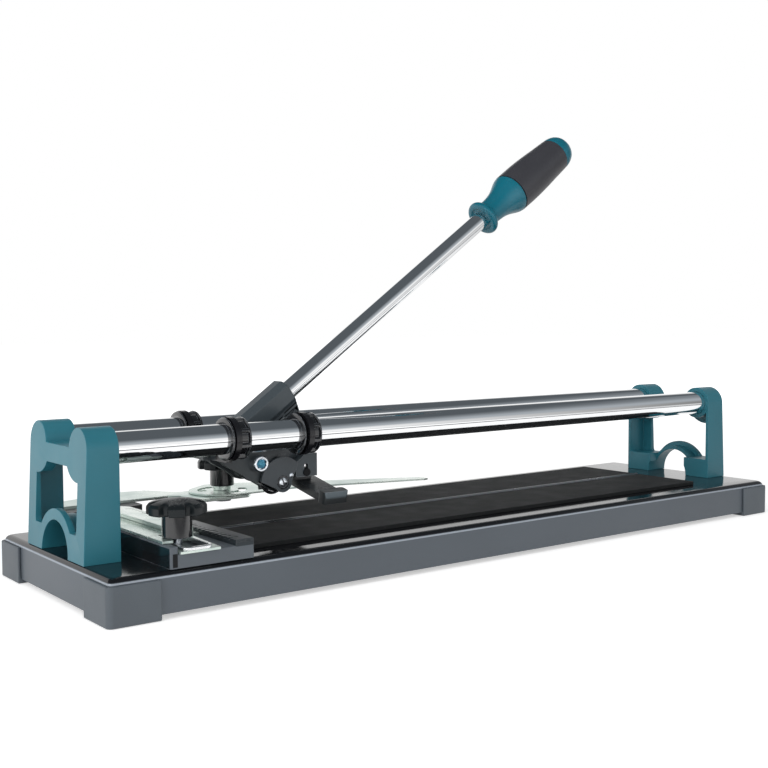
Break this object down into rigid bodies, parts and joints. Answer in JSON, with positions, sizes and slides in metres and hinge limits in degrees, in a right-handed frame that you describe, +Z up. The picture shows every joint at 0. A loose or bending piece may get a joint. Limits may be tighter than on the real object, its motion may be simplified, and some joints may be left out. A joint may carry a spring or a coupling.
{
  "type": "tile cutter",
  "caption": "Manual tile cutter: pressed bed, two guide rails in moulded end brackets, sliding carriage with scoring and breaking lever, sliding fence and swivelling side stop.",
  "frame": {"origin": "on the bench, under the middle of the bed", "axes": "+X along the cut to the right as the user sees it, +Y away from the side with the fence knob, +Z up"},
  "size_m": [0.62, 0.209, 0.3265],
  "materials": {
    "bed_gloss": "gloss black enamel",
    "boot_grey": "satin dark grey moulding",
    "pad_charcoal": "fine matt texture",
    "bar_steel": "plain",
    "bracket_teal": "satin moulding",
    "chrome": "mirror",
    "bush_black": "gloss black",
    "casting_slate": "satin dark slate paint",
    "cap_slate": "satin",
    "knob_black": "satin black",
    "block_graphite": "satin",
    "zinc": "zinc plate with a green tint",
    "bright_zinc": "bright zinc plate",
    "wheel_carbide": "ground",
    "grip_teal": "satin gloss",
    "sleeve_grey": "fine leather grain"
  },
  "bodies": {
    "base": {"bed": "bed_gloss", "boot_front_left": "boot_grey", "boot_front_right": "boot_grey", "boot_rear_left": "boot_grey", "boot_rear_right": "boot_grey", "front_pad": "pad_charcoal", "rear_pad": "pad_charcoal", "breaking_bar": "bar_steel", "left_bracket": "bracket_teal", "right_bracket": "bracket_teal", "bracket_screws": "bright_zinc", "front_rail": "chrome", "rear_rail": "chrome", "fence_block_front": "block_graphite", "fence_block_rear": "block_graphite", "fence_stud": "bright_zinc", "fence_screws": "bright_zinc", "stop_arm": "zinc", "arm_screws": "bright_zinc", "swivel_stud": "bright_zinc"},
    "carriage": {"carriage_frame": "casting_slate", "bush_front_left": "bush_black", "bush_front_right": "bush_black", "bush_rear_left": "bush_black", "bush_rear_right": "bush_black", "pivot_bolt": "bright_zinc", "pivot_sleeve": "bright_zinc", "pivot_nut": "bright_zinc"},
    "lever": {"lever_casting": "casting_slate", "lever_rod": "chrome", "grip_front": "grip_teal", "grip_sleeve": "sleeve_grey", "grip_cap": "grip_teal", "wheel_screw": "bright_zinc", "wheel_nut": "bright_zinc", "wheel_cover": "casting_slate", "cover_rivet": "bright_zinc"},
    "wheel": {"scoring_wheel": "wheel_carbide"},
    "foot": {"breaker_foot": "casting_slate", "foot_cap_front": "cap_slate", "foot_cap_rear": "cap_slate", "foot_pin": "bright_zinc"},
    "fence_bar": {"fence_bar": "zinc"},
    "fence_knob": {"fence_knob": "knob_black"},
    "blade": {"swivel_blade": "zinc"},
    "swivel_knob": {"swivel_knob": "knob_black"}
  },
  "joints": [
    {"name": "carriage_slide", "type": "slide", "parent": "base", "child": "carriage", "axis": [1, 0, 0], "range_m": [-0.07, 0.39]},
    {"name": "lever_pivot", "type": "hinge", "parent": "carriage", "child": "lever", "pos_m": [-0.1665, 0, 0.0748], "axis": [0, -1, 0], "range_deg": [-16, 26]},
    {"name": "wheel_spin", "type": "hinge", "parent": "lever", "child": "wheel", "pos_m": [-0.1473, 0, 0.0601], "axis": [0, 1, 0], "continuous": true},
    {"name": "foot_float", "type": "slide", "parent": "lever", "child": "foot", "axis": [0, 0, 1], "range_m": [0, 0.002]},
    {"name": "fence_bar_slide", "type": "slide", "parent": "base", "child": "fence_bar", "axis": [0, 1, 0], "range_m": [0, 0.015]},
    {"name": "fence_knob_turn", "type": "hinge", "parent": "base", "child": "fence_knob", "pos_m": [-0.256, -0.068, 0.05], "axis": [0, 0, 1], "continuous": true},
    {"name": "blade_swivel", "type": "hinge", "parent": "base", "child": "blade", "pos_m": [-0.148, 0.071, 0.0444], "axis": [0, 0, 1], "range_deg": [-25, 17]},
    {"name": "swivel_knob_turn", "type": "hinge", "parent": "base", "child": "swivel_knob", "pos_m": [-0.148, 0.071, 0.05], "axis": [0, 0, 1], "continuous": true}
  ]
}
